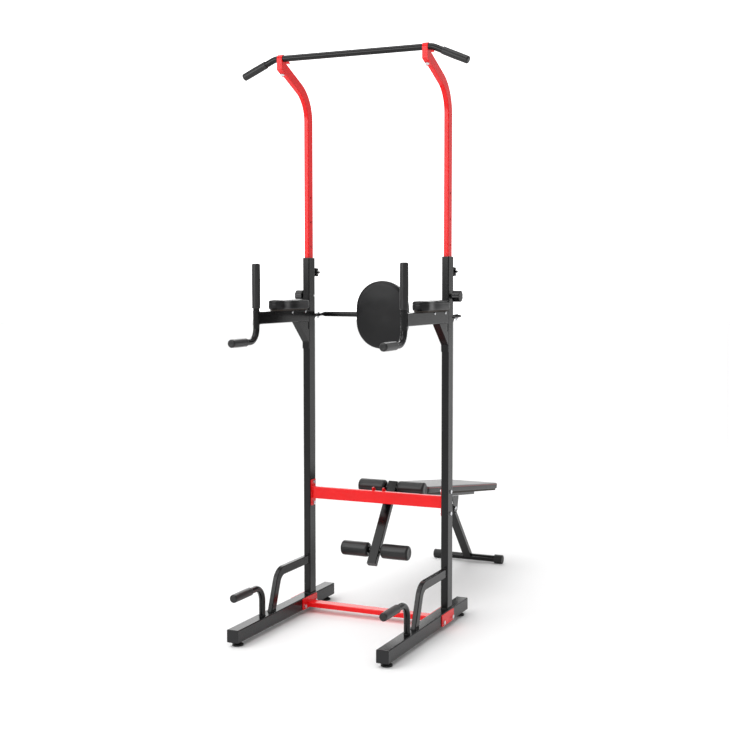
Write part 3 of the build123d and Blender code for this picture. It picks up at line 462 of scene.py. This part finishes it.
def arm_cushions():
    """The waisted pads that lie along the dip arms, one on each side."""
    low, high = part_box("arm_pads")
    half = (high.x - mast_x, (high.y - low.y) / 2)
    middle_y = (low.y + high.y) / 2
    for side_name, side in sides:
        def place(x, y, height):
            return Vector((side * mast_x + x, middle_y + y, low.z + height))

        cushion(f"{side_name}_arm_cushion", "arm_pads", "frame", half, high.z - low.z,
                place, crown=0.003, edge=0.008, radii=(0.03, 0.02), waist=0.17, seam=0.6,
                seed=5.0 * side)


def bench():
    """The sloping bench pad, and the red cord sewn into its seam."""
    tilt, thickness = math.radians(7.45), 0.030
    corners, seam, proud, cord_radius = (0.022, 0.022), 0.72, 0.0002, 0.0016
    low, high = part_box("bench_pad")
    length = (high.y - low.y - thickness * math.sin(tilt)) / math.cos(tilt)
    down = Vector((0, math.cos(tilt), -math.sin(tilt)))
    up = Vector((0, math.sin(tilt), math.cos(tilt)))
    front_top = Vector((0, low.y + thickness * math.sin(tilt), high.z))
    base = front_top + down * (length / 2) - up * thickness

    def place(x, y, height):
        return base + Vector((x, 0, 0)) + down * y + up * height

    half = ((high.x - low.x) / 2, length / 2)
    cushion("bench_cushion", "bench_pad", "bench", half, thickness, place, crown=0.002,
            edge=0.008, radii=corners, seam=seam, seed=8.0)
    seam_line = outline(half[0] + proud, half[1] + proud, corners)
    trim_ring("bench_piping", seam_line, place, thickness * seam, cord_radius, red_vinyl,
              "bench")


backrest()
arm_cushions()
bench()


# -------------------------------------------------------------------------- weld beads
bead_radius = 0.0021
bead_sections = 6
bead_step = 0.0017             # from one ring of a bead to the next


def bead(loop):
    """A weld bead along a closed loop, rippled like a row of small pools."""
    lengths = [(loop[(i + 1) % len(loop)] - p).length for i, p in enumerate(loop)]
    count = max(24, int(sum(lengths) / bead_step))
    marks = np.linspace(0, sum(lengths), count, endpoint=False)
    ends = np.concatenate(([0], np.cumsum(lengths)))
    spots = []
    for mark in marks:
        i = min(int(np.searchsorted(ends, mark, "right")) - 1, len(loop) - 1)
        share = (mark - ends[i]) / max(lengths[i], 1e-9)
        spots.append(loop[i].lerp(loop[(i + 1) % len(loop)], share))
    middle = sum(spots, Vector()) / count
    points = []
    for i, spot in enumerate(spots):
        along = (spots[(i + 1) % count] - spots[i - 1]).normalized()
        out = (spot - middle).normalized()
        across = (out - along * out.dot(along)).normalized()
        other = along.cross(across)
        ripple = 0.16 * math.cos(2 * math.pi * i / 3) + 0.2 * noise.noise(spot * 260)
        for k in range(bead_sections):
            angle = 2 * math.pi * k / bead_sections
            way = across * math.cos(angle) + other * math.sin(angle)
            points.append(spot + way * bead_radius * (1 + ripple))
    faces = []
    for i in range(count):
        j = (i + 1) % count
        for k in range(bead_sections):
            m = (k + 1) % bead_sections
            faces.append((i * bead_sections + k, j * bead_sections + k,
                          j * bead_sections + m, i * bead_sections + m))
    return points, faces


def weld_set(name, loops, paint, body):
    """All the weld beads of one colour on one body, as one piece."""
    points, faces = [], []
    for loop in loops:
        new_points, new_faces = bead(loop)
        faces += [tuple(len(points) + i for i in face) for face in new_faces]
        points += new_points
    make_piece(name, points, faces, paint, body)


def tube_foot(centre, first, second, half_first, half_second, radius=0.004):
    """The loop where a tube's end meets a face; first and second lie in that face."""
    flat = outline(half_first, half_second, (radius, radius), steps=4, straight=4)
    return [Vector(centre) + Vector(first) * p.x + Vector(second) * p.y for p in flat]


def round_foot(centre, first, second, radius):
    """The loop where a round tube or boss meets a face."""
    return tube_foot(centre, first, second, radius, radius, radius)


def welds():
    """Beads where the tubes, handles and bosses stand on the frame, and on the red bars."""
    x_way, y_way, z_way = (1, 0, 0), (0, 1, 0), (0, 0, 1)
    half_wide, half_deep = (mast_high.x - mast_low.x) / 2, (mast_high.y - mast_low.y) / 2
    rail_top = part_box("left_base_rail")[1].z
    push_up_y, brace_y = mast_y - 0.415, mast_y - 0.3375       # where they stand on the rail
    brace_wide, brace_deep, brace_tall, brace_corner = 0.010, 0.01875, 0.0175, 0.003
    brace_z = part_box("rail_braces")[1].z - brace_tall
    dip_grip_radius = 0.0165
    handle_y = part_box("dip_upper_grips")[0].y + dip_grip_radius
    arm_under, arm_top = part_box("dip_arm_gussets")[1].z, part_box("arm_pad_boards")[0].z
    pin_z, clamp_z, boss_radius = 1.327, 1.425, 0.009
    black = []
    for _, side in sides:
        x = side * mast_x
        black += [
            tube_foot((x, mast_y, rail_top), x_way, y_way, half_wide, half_deep),
            round_foot((x, push_up_y, rail_top), x_way, y_way, handle_radius),
            tube_foot((x, brace_y, rail_top), x_way, y_way, brace_wide, brace_deep,
                      brace_corner),
            tube_foot((x, mast_low.y, brace_z), x_way, z_way, brace_wide, brace_tall,
                      brace_corner),
            round_foot((x, handle_y, arm_under), x_way, y_way, handle_radius),
            round_foot((x, handle_y, arm_top), x_way, y_way, handle_radius),
            round_foot((x + side * half_wide, mast_y, pin_z), y_way, z_way, boss_radius),
            round_foot((x, mast_high.y, clamp_z), x_way, z_way, boss_radius),
        ]
    weld_set("frame_weld_beads", black, black_coat, "frame")

    red = []
    bar_thin, bar_broad = 0.010, 0.025
    for node, half in (("middle_cross_bar", (bar_thin, bar_broad)),
                       ("floor_cross_bar", (bar_broad, bar_thin))):
        low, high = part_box(node)
        for x in (low.x, high.x):
            red.append(tube_foot((x, (low.y + high.y) / 2, (low.z + high.z) / 2), y_way,
                                 z_way, *half))
    weld_set("cross_bar_weld_beads", red, red_coat, "frame")


welds()


# ------------------------------------------------------------------- floor, light, camera
backdrop_side = Vector((-0.415, 0.91, 0.0))      # the studio's white wall is this way


def place_light(name, light, spot, aim):
    """Hang a lamp at spot, turned towards aim."""
    lamp = bpy.data.objects.new(name, light)
    lamp.location = spot
    lamp.rotation_euler = (aim - lamp.location).to_track_quat("-Z", "Y").to_euler()
    bpy.context.scene.collection.objects.link(lamp)


def studio():
    """A pale floor, a world with one white wall, and the lamps."""
    bpy.ops.mesh.primitive_circle_add(vertices=96, radius=40, fill_type="NGON")
    floor = bpy.context.object
    floor.name = "studio_floor"
    paper = finish_material("pale_paper", (0.94, 0.94, 0.94), 0.85, specular=0.1, shade=0.004,
                            patch=0.6, spread=0.03, grain_size=0.01, depth=0.0001)
    floor.data.materials.append(paper)

    world = bpy.data.worlds.new("studio")
    bpy.context.scene.world = world
    world.use_nodes = True
    tree = world.node_tree
    sky = tree.nodes["Background"]
    place = tree.nodes.new("ShaderNodeTexCoord")
    toward = tree.nodes.new("ShaderNodeVectorMath")
    toward.operation = "DOT_PRODUCT"
    toward.inputs[1].default_value = backdrop_side
    ramp = tree.nodes.new("ShaderNodeValToRGB")
    ramp.color_ramp.interpolation = "EASE"
    ramp.color_ramp.elements[0].position = 0.72
    ramp.color_ramp.elements[0].color = (0.31, 0.31, 0.31, 1)
    ramp.color_ramp.elements[1].position = 0.88
    ramp.color_ramp.elements[1].color = (1, 1, 1, 1)
    tree.links.new(place.outputs["Generated"], toward.inputs[0])
    tree.links.new(toward.outputs["Value"], ramp.inputs["Fac"])
    tree.links.new(ramp.outputs["Color"], sky.inputs["Color"])
    sky.inputs["Strength"].default_value = 1.8

    aim = Vector((0, mast_y, 1.3))
    for name, spot, size, power in (("key", (-1.6, mast_y - 3.4, 2.4), 1.8, 38),
                                    ("side", (3.4, mast_y + 0.6, 3.2), 0.7, 3.5),
                                    ("rim", (-1.5, 3.6, 3.4), 2.0, 25)):
        light = bpy.data.lights.new(name, "AREA")
        light.shape = "SQUARE"
        light.size = size
        light.energy = power
        place_light(name, light, spot, aim)
    overhead = bpy.data.lights.new("overhead", "SUN")
    overhead.energy = 1.5
    overhead.angle = math.radians(60)
    place_light("overhead", overhead, (-0.8, mast_y - 1.2, 5.0), aim)


def camera():
    """The view from the front right, a little above the middle."""
    yaw, pitch, roll = math.radians(24.585), math.radians(3.839), math.radians(-0.044)
    eye = Vector((2.0719, mast_y - 4.6425, 1.3849))
    lens = bpy.data.cameras.new("view")
    lens.lens = 61.24
    lens.sensor_width = 36.0
    shot = bpy.data.objects.new("view", lens)
    forward = Vector((-math.sin(yaw) * math.cos(pitch), math.cos(yaw) * math.cos(pitch),
                      -math.sin(pitch)))
    turn = forward.to_track_quat("-Z", "Y").to_matrix() @ Matrix.Rotation(roll, 3, "Z")
    shot.matrix_world = Matrix.Translation(eye) @ turn.to_4x4()
    bpy.context.scene.collection.objects.link(shot)
    bpy.context.scene.camera = shot


studio()
camera()
bpy.context.scene.view_settings.view_transform = "Standard"
